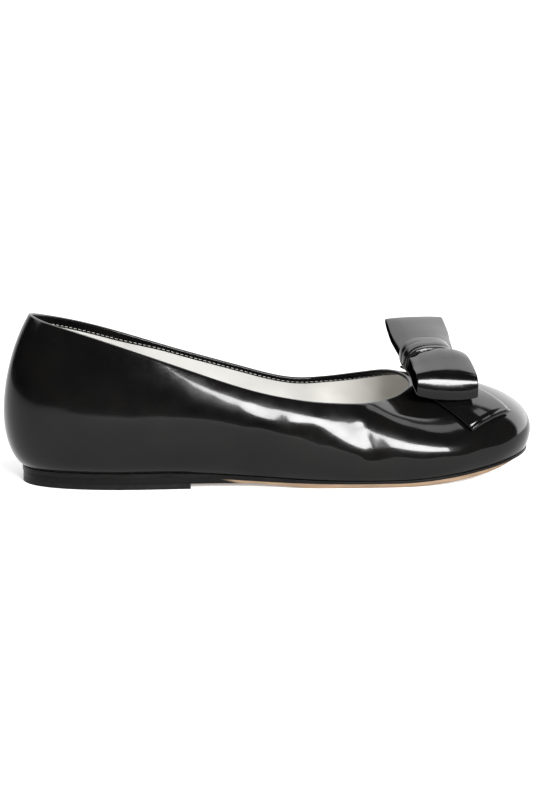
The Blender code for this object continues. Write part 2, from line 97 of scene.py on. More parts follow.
# %% The ribs of the upper
# Seam and opening as shares of the sizes above, flare and lean in degrees from upright, and how far
# the wall keeps each of them. The first row is the tip of the toe, and the outer side comes next. From its
# waist back, the outer side is up to 1.6 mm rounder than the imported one, and at the heel it bulges lower, so
# that the leather mirrors the floor low down.
Rib = namedtuple("Rib", "seam_x seam_y flare belly top_x top_y top_rise lean shoulder")
RIBS = [
    Rib(0.992, 0.047, 22, 0.27, 1.000, -0.005, 0.000, 88, 0.79),
    Rib(0.978, -0.166, 24, 0.28, 0.994, -0.093, -0.035, 86, 0.76),
    Rib(0.938, -0.323, 27, 0.25, 0.977, -0.183, -0.068, 78, 0.63),
    Rib(0.871, -0.432, 30, 0.26, 0.945, -0.291, -0.105, 65, 0.52),
    Rib(0.782, -0.494, 35, 0.24, 0.892, -0.407, -0.125, 50, 0.40),
    Rib(0.677, -0.490, 36, 0.23, 0.818, -0.475, -0.123, 30, 0.31),
    Rib(0.564, -0.460, 37, 0.32, 0.704, -0.517, -0.059, 29, 0.34),
    Rib(0.450, -0.413, 36, 0.34, 0.565, -0.503, 0.090, 26, 0.40),
    Rib(0.336, -0.377, 48, 0.25, 0.405, -0.464, 0.357, 22, 0.44),
    Rib(0.224, -0.362, 60, 0.18, 0.250, -0.417, 0.630, 15, 0.50),
    Rib(0.128, -0.303, 64, 0.165, 0.125, -0.335, 0.830, 20, 0.50),
    Rib(0.060, -0.182, 64, 0.18, 0.033, -0.191, 0.955, 27, 0.45),
    Rib(0.035, 0.000, 50, 0.26, 0.000, 0.000, 1.000, 31, 0.37),
    Rib(0.059, 0.178, 48, 0.27, 0.033, 0.183, 0.940, 27, 0.37),
    Rib(0.126, 0.290, 43, 0.28, 0.125, 0.321, 0.810, 20, 0.38),
    Rib(0.224, 0.338, 39, 0.30, 0.250, 0.403, 0.612, 15, 0.38),
    Rib(0.336, 0.332, 38, 0.33, 0.405, 0.448, 0.352, 12, 0.36),
    Rib(0.450, 0.325, 38, 0.35, 0.560, 0.482, 0.115, 14, 0.36),
    Rib(0.564, 0.370, 38, 0.36, 0.704, 0.488, -0.070, 21, 0.36),
    Rib(0.677, 0.450, 36, 0.35, 0.818, 0.464, -0.060, 31, 0.38),
    Rib(0.778, 0.490, 31, 0.32, 0.892, 0.397, 0.005, 47, 0.43),
    Rib(0.868, 0.472, 26, 0.31, 0.948, 0.299, 0.062, 66, 0.55),
    Rib(0.938, 0.377, 23, 0.30, 0.980, 0.190, 0.072, 80, 0.66),
    Rib(0.981, 0.226, 22, 0.28, 0.996, 0.093, 0.042, 86, 0.76),
]
RIB_COUNT = 288

# %% Curves through the tables
def smooth_step(t):
    """0 up to t = 0, 1 from t = 1, and a smooth rise between. t may be an array."""
    t = np.clip(t, 0.0, 1.0)
    return t * t * (3.0 - 2.0 * t)


def round_spline(values, count):
    """count values, evenly spaced on the smooth closed curve through the given ones."""
    y = np.array(values, float)
    n = len(y)
    system = 4.0 * np.eye(n) + np.roll(np.eye(n), 1, axis=1) + np.roll(np.eye(n), -1, axis=1)
    bend = np.linalg.solve(system, 6.0 * (np.roll(y, 1) - 2.0 * y + np.roll(y, -1)))
    place = np.arange(count) * n / count
    i = place.astype(int)
    t = place - i
    j = (i + 1) % n
    s = 1.0 - t
    return s * y[i] + t * y[j] + (s**3 - s) * bend[i] / 6.0 + (t**3 - t) * bend[j] / 6.0


def toe_rise(x):
    share = (x / LENGTH - TREAD_FRONT) / (1.0 - TREAD_FRONT)
    return TOE_SPRING * np.maximum(share, 0.0) ** TOE_CURVE


def seam_height(x):
    seat = smooth_step((SEAT_END - x / LENGTH) / (SEAT_END - SEAT_FRONT))
    return SOLE_STACK + (SEAT_HEIGHT - SOLE_STACK) * seat + toe_rise(x)


def unit(vectors):
    return vectors / np.linalg.norm(vectors, axis=-1, keepdims=True)


def outward(loop):
    """Level directions that point out of a closed line of points."""
    along = np.roll(loop, -1, axis=0) - np.roll(loop, 1, axis=0)
    level = np.stack([-along[:, 1], along[:, 0], np.zeros(len(loop))], axis=1)
    return unit(level)


column = {name: round_spline([getattr(rib, name) for rib in RIBS], RIB_COUNT) for name in Rib._fields}
seam_x = column["seam_x"] * LENGTH
seam = np.stack([seam_x, column["seam_y"] * BALL_WIDTH, seam_height(seam_x)], axis=1)
opening = LENGTH - VAMP_LENGTH - COLLAR_BACK
top_rise = THROAT_HEIGHT + (BACK_HEIGHT - THROAT_HEIGHT) * column["top_rise"]
top = np.stack([COLLAR_BACK + column["top_x"] * opening, column["top_y"] * COLLAR_WIDTH, top_rise], axis=1)
print("seam and opening, mm round:", [round(1000 * np.linalg.norm(np.diff(line, axis=0), axis=1).sum())
                                      for line in (seam, top)])

# %% The outer face of the upper, as a function
def outer_face(shares):
    """Points of the outer face, an array of [share, rib, xyz].

    A share runs from 0 at the seam to 1 at the edge. shares is one list for all ribs, or an array with a
    column for each rib."""
    flare, lean = np.radians(column["flare"]), np.radians(column["lean"])
    span = np.linalg.norm(top - seam, axis=1)
    up = np.array([0.0, 0.0, 1.0])
    low = outward(seam) * np.sin(flare)[:, None] + up * np.cos(flare)[:, None]
    high = outward(top) * np.sin(lean)[:, None] - up * np.cos(lean)[:, None]
    low = seam + low * (column["belly"] * span)[:, None]
    high = top + high * (column["shoulder"] * span)[:, None]
    t = np.asarray(shares, float)
    t = np.broadcast_to(t[:, None] if t.ndim == 1 else t, (len(t), RIB_COUNT))[:, :, None]
    s = 1.0 - t
    return seam * s**3 + low * (3 * s * s * t) + high * (3 * s * t * t) + top * t**3


def face_normals(grid):
    """Normals of a grid of [share, rib, xyz] whose ribs go round, pointing out of the shoe."""
    round_shoe = np.roll(grid, -1, axis=1) - np.roll(grid, 1, axis=1)
    upwards = np.gradient(grid, axis=0)
    return unit(np.cross(upwards, round_shoe))


to_row = np.array(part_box("upper")[0]) - outer_face(np.linspace(0, 1, 60)).reshape(-1, 3).min(axis=0)
to_row[2] = 0.0
print("from the last's corner to the origin, mm:", np.round(to_row * 1000, 1))

# %% [markdown]
# ## Soft creases
# Thin leather drawn over a last is never a perfect surface, and a polished one shows it: a streak of light
# breaks where the leather dips by a few tenths of a millimetre. A bump map would bend the light but not the
# outline, so the main creases are real. Each is a soft trough or ridge along a short line, and a faint
# waviness runs under them.

# %% Creases, in mm from the back of the heel and up from the floor
# side is -1 for the outer side and 1 for the inner side, and a ridge has a depth below 0.
Crease = namedtuple("Crease", "side x0 z0 x1 z1 depth width")
CREASES = [
    Crease(-1, 112, 36, 126, 30, 0.06, 4.5),
    Crease(-1, 128, 31, 136, 26, -0.07, 4.0),
    Crease(-1, 137, 27, 145, 20, 0.16, 4.0),
    Crease(-1, 150, 30, 155, 17, -0.14, 5.0),
    Crease(-1, 159.5, 28, 162.5, 16, 0.20, 2.4),
    Crease(-1, 169, 23, 190, 20, 0.26, 6.5),
    Crease(-1, 146, 28, 160, 25, 0.20, 6.0),
    Crease(1, 120, 32, 138, 24, 0.20, 5.0),
    Crease(1, 134, 28, 152, 17, -0.16, 4.5),
    Crease(1, 150, 30, 164, 14, 0.34, 4.0),
    Crease(1, 172, 27, 178, 14, 0.18, 4.0),
    Crease(1, 20, 50, 46, 38, 0.16, 8.0),
]
SIDE_FADE = 12 * MM
WAVE_DEPTH = 0.09 * MM
WAVE_LENGTHS = (21 * MM, 34 * MM)
STIFF_WAVES = 0.06
FLEX_BACK = 88 * MM
FLEX_RUN = 30 * MM
SMOOTH_ABOVE_SEAM = 0.12


def crease_depths(points):
    """How far each point of a grid is pressed in."""
    depth = np.zeros(points.shape[:2])
    for crease in CREASES:
        start = np.array([crease.x0, crease.z0]) * MM
        line = np.array([crease.x1, crease.z1]) * MM - start
        flat = points[:, :, [0, 2]] - start
        share = np.clip(flat @ line / (line @ line), 0, 1)
        away = np.linalg.norm(flat - share[:, :, None] * line, axis=2)
        on_side = smooth_step((crease.side * points[:, :, 1] - SIDE_FADE) / SIDE_FADE)
        depth += crease.depth * MM * np.exp(-((away / (crease.width * MM)) ** 2)) * on_side
    x, y, z = (points[:, :, axis] for axis in range(3))
    flexes = STIFF_WAVES + (1 - STIFF_WAVES) * smooth_step((x - FLEX_BACK) / FLEX_RUN)
    for number, wave in enumerate(WAVE_LENGTHS):
        turn = math.tau / wave
        ripple = np.sin(turn * (x + 0.6 * z) + number) * np.sin(turn * 0.7 * (z - 0.4 * y) + 2 * number)
        depth += WAVE_DEPTH * flexes * ripple
    return depth


def wall(shares, depth):
    """Points in the upper's wall, that far in from its creased outer face. shares may climb or fall."""
    grid = outer_face(shares)
    climbs = np.mean(shares[-1]) > np.mean(shares[0])
    normals = face_normals(grid) if climbs else -face_normals(grid)
    rise = smooth_step(np.asarray(shares, float) / SMOOTH_ABOVE_SEAM)
    rise = rise[:, None] if rise.ndim == 1 else rise
    pressed = crease_depths(grid) * rise
    return grid - normals * (pressed[:, :, None] + depth)


print("creases:", len(CREASES), "deepest mm:", max(crease.depth for crease in CREASES))

# %% [markdown]
# ## A loft made with an operator
# Every soft piece of the shoe is a row of points that moves on: the ribs' rings climb the upper, a ribbon's
# section runs round its loop. One helper extrudes the edges of a row, sets the new row in place, and joins
# the last row to the first where the piece closes on itself.

# %% The loft helper
def loft(rows, row_closes=True, rows_close=False):
    """A bmesh of quads through rows of points."""
    rows = [*rows, rows[0]] if rows_close else rows
    bm = bmesh.new()
    place = bm.verts.layers.int.new("place")
    verts = [bm.verts.new(point) for point in rows[0]]
    for number, vert in enumerate(verts):
        vert[place] = number
    count = len(verts) if row_closes else len(verts) - 1
    edges = [bm.edges.new((verts[k], verts[(k + 1) % len(verts)])) for k in range(count)]
    for row in rows[1:]:
        made = bmesh.ops.extrude_edge_only(bm, edges=edges)["geom"]
        fresh = {item for item in made if isinstance(item, bmesh.types.BMVert)}
        for vert in fresh:
            vert.co = row[vert[place]]
        edges = [item for item in made
                 if isinstance(item, bmesh.types.BMEdge) and fresh.issuperset(item.verts)]
    if rows_close:
        bmesh.ops.remove_doubles(bm, verts=bm.verts, dist=1e-7)
    return bm


def close_ends(bm):
    bmesh.ops.remove_doubles(bm, verts=bm.verts, dist=1e-6)
    bmesh.ops.dissolve_degenerate(bm, edges=bm.edges, dist=1e-6)
    bmesh.ops.holes_fill(bm, edges=bm.edges, sides=0)


def make_piece(name, bm, material, replaces=(), sharp=180):
    """A finished piece that rides on the shoe, moved from the last's frame to the row's."""
    bmesh.ops.recalc_face_normals(bm, faces=bm.faces)
    bmesh.ops.translate(bm, verts=bm.verts, vec=Vector(to_row))
    mesh = bpy.data.meshes.new(name)
    bm.to_mesh(mesh)
    bm.free()
    mesh.materials.append(material)
    mesh.shade_smooth()
    if sharp < 180:
        mesh.set_sharp_from_angle(angle=math.radians(sharp))
    piece = bpy.data.objects.new(name, mesh)
    bpy.context.scene.collection.objects.link(piece)
    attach(piece, "root")
    if replaces:
        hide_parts(*replaces)
    print(name, "faces:", len(mesh.polygons))
    return piece

# %% [markdown]
# ## Finishes
# The leather is dyed through, waxed and polished: nearly black, with a clear coat that mirrors the studio and
# a fine grain that only frays the edges of what it mirrors. Where it turns inside the shoe it isn't polished
# and shines less. The lining is a chalky ivory leather, the sole a plain tan one with its edge inked black
# under the waist, and the heel a rubber lift. Flat colours would look like plastic, so each finish is one
# Principled shader whose roughness and bump come from noise, in object coordinates so that nothing slides.

# %% Helpers for the finishes
class Wiring:
    """Short ways to add nodes to a tree and to link them."""

    def __init__(self, tree):
        self.nodes, self.links = tree.nodes, tree.links

    def put(self, socket, value):
        """A value set on a socket, or another socket linked to it."""
        if isinstance(value, bpy.types.NodeSocket):
            self.links.new(value, socket)
        else:
            socket.default_value = value

    def math(self, operation, *values):
        node = self.nodes.new("ShaderNodeMath")
        node.operation = operation
        for socket, value in zip(node.inputs, values):
            self.put(socket, value)
        return node.outputs[0]

    def mixed(self, share, first, second):
        """A colour between two others."""
        node = self.nodes.new("ShaderNodeMix")
        node.data_type = "RGBA"
        for name, value in (("Factor", share), ("A", first), ("B", second)):
            self.put(node.inputs[name], value)
        return node.outputs["Result"]

    def split(self, vector):
        """The X, Y and Z of a vector, by name."""
        node = self.nodes.new("ShaderNodeSeparateXYZ")
        self.links.new(vector, node.inputs[0])
        return node.outputs

    def ranged(self, factor, low, high, start=0.3, end=0.7):
        """The factor mapped from start and end to low and high."""
        node = self.nodes.new("ShaderNodeMapRange")
        for name, value in (("From Min", start), ("From Max", end), ("To Min", low), ("To Max", high)):
            node.inputs[name].default_value = value
        self.links.new(factor, node.inputs["Value"])
        return node.outputs["Result"]

    def ramp(self, factor, stops):
        """The factor as a colour, between stops of a place and a colour."""
        node = self.nodes.new("ShaderNodeValToRGB")
        elements = node.color_ramp.elements
        while len(elements) < len(stops):
            elements.new(1.0)
        for element, (position, colour) in zip(elements, stops):
            element.position = position
            element.color = (*colour, 1.0)
        self.links.new(factor, node.inputs["Fac"])
        return node.outputs["Color"]


class Finish(Wiring):
    """A Principled material whose patterns are placed by object coordinates."""

    def __init__(self, name, **sockets):
        self.material = bpy.data.materials.new(name)
        self.material.use_nodes = True
        super().__init__(self.material.node_tree)
        self.shader = self.nodes["Principled BSDF"]
        self.place = self.nodes.new("ShaderNodeTexCoord").outputs["Object"]
        self.set(**sockets)

    def set(self, **sockets):
        """Values or links for sockets of the shader, with an underscore for each space in a name."""
        for name, value in sockets.items():
            self.put(self.shader.inputs[name.replace("_", " ")], value)

    def noise(self, scale, detail=3.0, roughness=0.5, stretch=None):
        """A noise's factor. scale is in repeats per metre, and stretch draws the pattern out."""
        place = self.place
        if stretch:
            mapping = self.nodes.new("ShaderNodeMapping")
            mapping.inputs["Scale"].default_value = stretch
            self.links.new(place, mapping.inputs["Vector"])
            place = mapping.outputs["Vector"]
        texture = self.nodes.new("ShaderNodeTexNoise")
        for name, value in (("Scale", scale), ("Detail", detail), ("Roughness", roughness)):
            texture.inputs[name].default_value = value
        self.links.new(place, texture.inputs["Vector"])
        return texture.outputs["Fac"]

    def coloured(self, factor, low, high, start=0.35, end=0.65):
        return self.ramp(factor, ((start, low), (end, high)))

    def bumped(self, height, depth, under=None):
        """A bump normal of this depth in metres, over another one where it is given."""
        node = self.nodes.new("ShaderNodeBump")
        node.inputs["Strength"].default_value = 1.0
        node.inputs["Distance"].default_value = depth
        self.links.new(height, node.inputs["Height"])
        if under is not None:
            self.links.new(under, node.inputs["Normal"])
        return node.outputs["Normal"]


# %% Black polished leather
# An attribute named inside is 1 on the facing and on the wall's inner face, which take less of the shine.
Gloss = namedtuple("Gloss", "outside inside")
COAT_WEIGHT = Gloss(0.21, 0.04)
MIRROR_LEVEL = Gloss(0.15, 0.05)
UPPER_WAVES = 0.16 * MM
BOW_WAVES = 0.22 * MM
GRAIN_DEPTH = 0.012 * MM
COAT_GRAIN_DEPTH = 0.004 * MM


def polished_leather(name, wave_depth):
    finish = Finish(name, Coat_Roughness=0.05, Coat_IOR=1.45, IOR=1.36)
    attribute = finish.nodes.new("ShaderNodeAttribute")
    attribute.attribute_name = "inside"
    inside = attribute.outputs["Fac"]
    waves = finish.bumped(finish.noise(55, 1.0), wave_depth)
    finish.set(
        Coat_Weight=finish.ranged(inside, *COAT_WEIGHT, 0.0, 1.0),
        Specular_IOR_Level=finish.ranged(inside, *MIRROR_LEVEL, 0.0, 1.0),
        Base_Color=finish.coloured(finish.noise(30), (0.0016, 0.0016, 0.0018), (0.0034, 0.0032, 0.0030)),
        Roughness=finish.ranged(finish.noise(140), 0.11, 0.19),
        Normal=finish.bumped(finish.noise(2100, 3.0, 0.6), GRAIN_DEPTH, waves),
        Coat_Normal=finish.bumped(finish.noise(1300, 2.0), COAT_GRAIN_DEPTH, waves),
    )
    return finish.material


upper_finish = polished_leather("black_polished_leather", UPPER_WAVES)
bow_finish = polished_leather("black_bow_leather", BOW_WAVES)

# %% Ivory lining leather
# Towards the throat the lining's colour is painted paler: painted light, for the light that falls into the
# front of the shoe.
PAINTED_LIGHT_FROM = 20 * MM
PAINTED_LIGHT_TO = 60 * MM


def lining_leather():
    finish = Finish("ivory_lining_leather", Sheen_Weight=0.15)
    ivory = finish.coloured(finish.noise(60, 5), (0.385, 0.38, 0.36), (0.445, 0.44, 0.42))
    # painted light: towards the throat the ivory is mixed to a paler colour
    painted_light = finish.ranged(finish.split(finish.place)["X"], 0.0, 1.0, PAINTED_LIGHT_FROM, PAINTED_LIGHT_TO)
    folds = finish.bumped(finish.noise(70, 2.0), 0.4 * MM)
    finish.set(
        Base_Color=finish.mixed(painted_light, ivory, (0.80, 0.785, 0.74, 1.0)),
        Roughness=finish.ranged(finish.noise(400), 0.42, 0.6),
        Normal=finish.bumped(finish.noise(1500, 3.0), 0.03 * MM, folds),
    )
    return finish.material


lining_finish = lining_leather()

# %% Tan sole leather, inked black under the waist
# The ink covers the edge of the sole and ends on a slanting line. The underside keeps its tan.
INK_FRONT = 0.112
INK_FADE = 4 * MM
INK_SLOPE = 3.6
UNDERSIDE = -0.98
EDGE = -0.90


def sole_leather():
    finish = Finish("tan_sole_leather")
    fibres = finish.noise(420, 4.0, 0.6, stretch=(0.12, 0.5, 1.6))
    tan = finish.coloured(fibres, (0.120, 0.074, 0.040), (0.200, 0.130, 0.076), 0.3, 0.7)
    where = finish.split(finish.place)
    along = finish.math("MULTIPLY_ADD", where["Z"], INK_SLOPE, where["X"])
    front = INK_FRONT + float(to_row[0])
    behind = finish.ranged(along, 1.0, 0.0, front, front + INK_FADE)
    facing = finish.nodes.new("ShaderNodeNewGeometry").outputs["Normal"]
    edge = finish.ranged(finish.split(facing)["Z"], 0.0, 1.0, UNDERSIDE, EDGE)
    ink = finish.math("MULTIPLY", behind, edge)
    finish.set(
        Base_Color=finish.mixed(ink, tan, (0.004, 0.0038, 0.0037, 1.0)),
        Roughness=finish.ranged(ink, 0.62, 0.36, 0.0, 1.0),
        Specular_IOR_Level=finish.ranged(ink, 0.45, 0.08, 0.0, 1.0),
        Normal=finish.bumped(fibres, 0.12 * MM),
    )
    return finish.material


sole_finish = sole_leather()


# %% Black edges, the rubber lift and the thread
def black_edge(name, colour, roughness, grain_depth, stretch):
    finish = Finish(name, Specular_IOR_Level=0.09)
    layers = finish.noise(500, 4.0, 0.6, stretch=stretch)
    finish.set(
        Base_Color=finish.coloured(layers, colour, tuple(1.9 * part for part in colour)),
        Roughness=finish.ranged(layers, roughness - 0.08, roughness + 0.1),
        Normal=finish.bumped(layers, grain_depth),
    )
    return finish.material


def thread():
    finish = Finish("grey_thread", Sheen_Weight=0.3)
    finish.set(
        Base_Color=finish.coloured(finish.noise(2500), (0.30, 0.30, 0.28), (0.52, 0.51, 0.48)),
        Roughness=finish.ranged(finish.noise(900), 0.6, 0.8),
    )
    return finish.material


edge_finish = black_edge("black_inked_edge", (0.003, 0.0029, 0.0028), 0.32, 0.08 * MM, (0.15, 0.5, 1.5))
rubber_finish = black_edge("black_heel_rubber", (0.004, 0.004, 0.004), 0.42, 0.06 * MM, (1, 1, 1))
thread_finish = thread()
print("finishes:", ", ".join(sorted(material.name for material in bpy.data.materials)))

# %% [markdown]
# ## The upper
# The leather is one skin: it comes up from the seam, rolls over the edge of the opening and turns down inside
# as a narrow black facing. We loft rings up the outer face, round the roll and down the facing, and then
# back down behind the lining, so that the piece is a closed wall.

# %% The upper's leather
OUTER_ROWS = 64
ROLL_STEPS = 9
FACING_ROWS = 6
INNER_ROWS = 20
ROLL = UPPER_WALL / 2
FACING_WIDTH = 2.0 * MM
FACING_BACK = 1.5 * MM
FACING_THROAT = 1.2 * MM
FACING_PROUD = 0.45 * MM
THROAT_START = 0.60
THROAT_RUN = 0.15
BACK_END = 0.20
BACK_RUN = 0.12
ON_INNER_SKIN = 0.2 * MM

rib_length = np.linalg.norm(np.diff(outer_face(np.linspace(0, 1, 80)), axis=0), axis=2).sum(axis=0)
throat_share = smooth_step((top[:, 0] / LENGTH - THROAT_START) / THROAT_RUN)
edge_share = 1.0 - ROLL / rib_length
back_share = 1.0 - smooth_step((top[:, 0] / LENGTH - BACK_END) / BACK_RUN)
facing_width = FACING_WIDTH + FACING_BACK * back_share + FACING_THROAT * throat_share
facing_share = edge_share - facing_width / rib_length


def shares_between(low, high, count):
    """Rows of shares from low to high, each of them a number or an array of one for each rib."""
    return np.linspace(np.broadcast_to(low, RIB_COUNT), np.broadcast_to(high, RIB_COUNT), count)


def roll_over():
    """Rings round the folded edge of the opening."""
    last = wall(shares_between(edge_share - 0.02, edge_share, 3), 0.0)
    out = face_normals(last)[-1]
    upwards = unit(last[-1] - last[-2])
    middle = last[-1] - out * ROLL
    turns = np.linspace(0, math.pi, ROLL_STEPS + 2)[1:-1]
    return [middle + out * ROLL * math.cos(turn) + upwards * ROLL * math.sin(turn) for turn in turns]


outer_rows = wall(shares_between(0.0, edge_share, OUTER_ROWS), 0.0)
facing_rows = wall(shares_between(edge_share, facing_share, FACING_ROWS), UPPER_WALL)
inner_depth = UPPER_WALL - FACING_PROUD
inner_rows = wall(shares_between(facing_share, 0.0, INNER_ROWS), inner_depth)
upper_skin = loft([*outer_rows, *roll_over(), *facing_rows, *inner_rows], rows_close=True)
shadow = upper_skin.verts.layers.float.new("inside")
inner_skin = BVHTree.FromBMesh(loft([*facing_rows, *inner_rows]))
for vert in upper_skin.verts:
    vert[shadow] = 1.0 if inner_skin.find_nearest(vert.co)[3] < ON_INNER_SKIN else 0.0
make_piece("upper_leather", upper_skin, upper_finish, ["upper"])

# %% [markdown]
# ## The sole
# Four flat layers: the insole inside, a thin black midsole, a leather outsole skived thin at the toe, and a
# heel lift. All follow the seam line, so each is a run of sections across the shoe between two heights, with
# an edge profile of its own. Their edges are rounded by sanding before they are inked, and it is the rounding
# that catches a line of light.

# %% Heights of the sole's layers
def tread_height(x):
    waist = smooth_step((TREAD_BACK - x / LENGTH) / (TREAD_BACK - WAIST_BACK))
    return WAIST_GAP * waist + toe_rise(x)


def midsole_under(x):
    back = smooth_step((SEAT_END - x / LENGTH) / (SEAT_END - WAIST_BACK))
    return seam_height(x) - CLEARANCE - MIDSOLE_FORE - (MIDSOLE_BACK - MIDSOLE_FORE) * back


def skive(x):
    return smooth_step((x / LENGTH - SKIVE_BACK) / (1.0 - SKIVE_BACK))


def outsole_under(x):
    thin = midsole_under(x) - CLEARANCE - OUTSOLE_TOE
    return tread_height(x) + (thin - tread_height(x)) * skive(x)


# %% Sole layers from sections across the shoe
# Behind the waist the edges are sanded flush with each other, and their rounding shrinks to FLUSH_LEAST.
EDGE_STEPS = 5
FLUSH_FRONT = 0.40
FLUSH_BACK = 0.34
FLUSH_LEAST = 0.12
out_of_seam = outward(seam)
ALONG = RIB_COUNT // 2


def rounded_edge(top_radius, under_radius):
    """The levels of an edge that is rounded above and below, each a share down, an outset and a rise."""
    turns = np.linspace(0, math.pi / 2, EDGE_STEPS)
    return [
        *((0.0, top_radius * (math.sin(turn) - 1), -top_radius * (1 - math.cos(turn))) for turn in turns),
        *((1.0, under_radius * (math.cos(turn) - 1), under_radius * (1 - math.sin(turn))) for turn in turns),
    ]


def slab(edge, top_of, under_of, outset):
    """A closed layer between two heights. Heights and outset are functions of x."""
    rows = []
    for k in range(ALONG + 1):
        section = []
        for rib, levels in ((k, edge), (-k % RIB_COUNT, edge[::-1])):
            for down, out, rise in levels:
                flush = smooth_step((seam[rib][0] / LENGTH - FLUSH_BACK) / (FLUSH_FRONT - FLUSH_BACK))
                flush = FLUSH_LEAST + (1 - FLUSH_LEAST) * flush
                point = seam[rib] + out_of_seam[rib] * (outset(seam[rib][0]) + out * flush)
                x = point[0]
                point[2] = top_of(x) + (under_of(x) - top_of(x)) * down + rise * flush
                section.append(point)
        rows.append(section)
    bm = loft(rows)
    close_ends(bm)
    return bm


def lowered(height):
    """A height half of the clearance lower, where two layers of the sole meet."""
    return lambda x: height(x) - CLEARANCE / 2


insole = slab(rounded_edge(0.5 * MM, 0.1 * MM), lambda x: seam_height(x) + INSOLE_THICKNESS, seam_height,
              lambda x: -UPPER_WALL)
make_piece("insole_sock", insole, lining_finish, ["insole"], sharp=50)
midsole = slab(rounded_edge(0.25 * MM, 0.25 * MM), lowered(seam_height), lowered(midsole_under),
               lambda x: EDGE_OUTSET)
make_piece("midsole_edge", midsole, edge_finish, ["midsole"], sharp=50)
outsole = slab(rounded_edge(0.15 * MM, 0.35 * MM), lowered(midsole_under), outsole_under,
               lambda x: -TOE_INSET * skive(x))
make_piece("leather_outsole", outsole, sole_finish, ["outsole"], sharp=50)

# %% The heel lift, cut off at its breast
# From the top down it flares out, and its bottom edge is rounded.
heel_edge = [
    (0.0, EDGE_OUTSET, 0.0),
    (0.55, 0.45 * MM, 0.0),
    (0.8, HEEL_FLARE, 0.0),
    (1.0, HEEL_FLARE, 0.4 * MM),
    (1.0, HEEL_FLARE - 0.2 * MM, 0.1 * MM),
    (1.0, HEEL_FLARE - HEEL_EDGE, 0.0),
]
heel = slab(heel_edge, outsole_under, lambda x: 0.0, lambda x: 0.0)
bmesh.ops.bisect_plane(heel, geom=[*heel.verts, *heel.edges, *heel.faces], clear_outer=True,
                       plane_co=(HEEL_BREAST * LENGTH, 0, 0), plane_no=(1, 0, 0))
bmesh.ops.holes_fill(heel, edges=heel.edges, sides=0)
make_piece("heel_lift", heel, rubber_finish, ["heel"], sharp=35)

# %% [markdown]
# ## The lining
# Inside, an ivory leather is pasted to the black and stops under its folded edge, where small stitches show
# that the facing is sewn down. It is a sheet of its own and not a colour on the upper's inner face, because
# its edge casts a fine shadow. At its foot it thickens against the sock and covers the join.

# %% The lining, a closed sheet
LINING_GAP = 0.05 * MM
LINING_THICKNESS = 0.4 * MM
LINING_FOOT = 2.0 * MM
FOOT_HEIGHT = 5.0 * MM
LINING_START = 0.02
UNDER_FACING = 0.15 * MM
lining_top = facing_share - UNDER_FACING / rib_length
lining_steps = shares_between(LINING_START, lining_top, INNER_ROWS)
outside_of_lining = wall(lining_steps, inner_depth + LINING_GAP)
foot = LINING_FOOT * (1 - smooth_step(lining_steps[::-1] * rib_length / FOOT_HEIGHT))[:, :, None]
inside_of_lining = wall(lining_steps[::-1], inner_depth + LINING_GAP + LINING_THICKNESS + foot)
make_piece("lining", loft([*outside_of_lining, *inside_of_lining], rows_close=True), lining_finish,
           sharp=50)

# %% Stitches along the facing
STITCH_PITCH = 2.3 * MM
STITCH_LENGTH = 1.6 * MM
STITCH_THICKNESS = 0.32 * MM
STITCH_IN = 0.7 * MM
STITCH_DIP = 0.25


def stitches():
    """Short rounded threads end to end along the foot of the facing, in one bmesh."""
    line_share = facing_share + STITCH_IN / rib_length
    line = wall(np.stack([line_share, line_share + 1e-3]), UPPER_WALL)[0]
    near_line = wall(np.stack([line_share - 0.01, line_share, line_share + 0.01]), UPPER_WALL)
    inwards = -face_normals(near_line)[1]
    steps = np.linalg.norm(np.roll(line, -1, axis=0) - line, axis=1)
    walked = np.concatenate([[0.0], np.cumsum(steps)])
    closed_line, closed_in = np.vstack([line, line[:1]]), np.vstack([inwards, inwards[:1]])

    def at(distance, values):
        """The value at this distance round the line."""
        return Vector([np.interp(distance, walked, values[:, axis]) for axis in range(3)])

    count = round(walked[-1] / STITCH_PITCH)
    reach = (STITCH_LENGTH - STITCH_THICKNESS) / 2
    bm = bmesh.new()
    for number in range(count):
        start, end = (at(number * STITCH_PITCH + shift, closed_line) for shift in (0.0, STITCH_LENGTH))
        normal = at(number * STITCH_PITCH, closed_in).normalized()
        along = (end - start).normalized()
        frame_of_stitch = Matrix([along, normal.cross(along), normal]).transposed().to_4x4()
        frame_of_stitch.translation = (start + end) / 2
        made = bmesh.ops.create_uvsphere(bm, u_segments=8, v_segments=6, radius=STITCH_THICKNESS / 2,
                                         matrix=Matrix.Rotation(math.pi / 2, 4, "Y"))["verts"]
        for vert in made:
            vert.co.x += math.copysign(reach, vert.co.x)
            vert.co.z -= STITCH_DIP * STITCH_THICKNESS * (abs(vert.co.x) / reach) ** 2
            vert.co = frame_of_stitch @ vert.co
    print("stitches:", count)
    return bm


make_piece("facing_stitches", stitches(), thread_finish)

# %% [markdown]
# ## The bow
# A wide ribbon of the same leather is folded into two loops and gathered by a pleated band, and two tails lie
# on the vamp under it. The leather is folded over a soft filling, so every edge is rounded, the faces swell a
# little between them, and folds fan out from where the band squeezes the ribbon. A loop is the ribbon's own
# section moved round the outline of the loop, a tail is that section draped along the vamp.

# %% Sizes of the bow
BOW_FROM_TOE = 0.0497
BOW_ASIDE = -0.5 * MM
BOW_YAW = math.radians(7.5)
BOW_ROLL = math.radians(7.5)
LOOP_REACH = 31.0 * MM
LOOP_HEIGHT = 20.0 * MM
LOOP_WIDTH = 28.0 * MM
LOOP_WAIST = 25.4 * MM
KNOT_WIDTH = 13.0 * MM
KNOT_LENGTH = 24.0 * MM
KNOT_DEPTH = 16.2 * MM
KNOT_SET_BACK = 1.8 * MM
TAIL_THICKNESS = 3.0 * MM
TAIL_CLEARANCE = 0.4 * MM
TAIL_LENGTH = 40.0 * MM
RIBBON_THICKNESS = 1.7 * MM

# %% Where the bow sits on the vamp
DRAPE_STRIDES = 24


